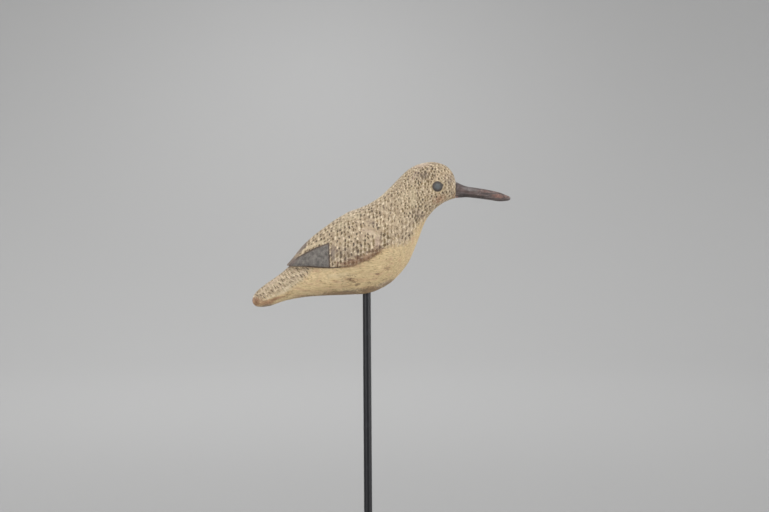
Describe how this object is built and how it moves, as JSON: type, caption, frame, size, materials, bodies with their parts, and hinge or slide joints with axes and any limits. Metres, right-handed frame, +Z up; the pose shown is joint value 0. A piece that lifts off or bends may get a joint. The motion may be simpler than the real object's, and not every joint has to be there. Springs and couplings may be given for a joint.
{
  "type": "shorebird decoy on a display stand",
  "caption": "Carved and painted wooden shorebird decoy with folded wings and a long dark bill, held up by a slim black rod in a round foot.",
  "frame": {"origin": "centre of the foot's underside, on the rod's axis", "axes": "+X towards the bill, +Y to the bird's left, +Z up along the rod"},
  "size_m": [0.2006, 0.092, 0.3464],
  "materials": {
    "painted_wood": "old dull oil paint on carved wood: cream with small dark brown flecks above, plain cream-yellow below, dark grey primaries",
    "painted_bill": "dark brown-black oil paint, worn to reddish brown towards the tip",
    "black_steel": "satin black"
  },
  "bodies": {
    "root": {"carved_bird": "painted_wood", "bill": "painted_bill", "rod": "black_steel", "foot": "black_steel"}
  },
  "joints": []
}
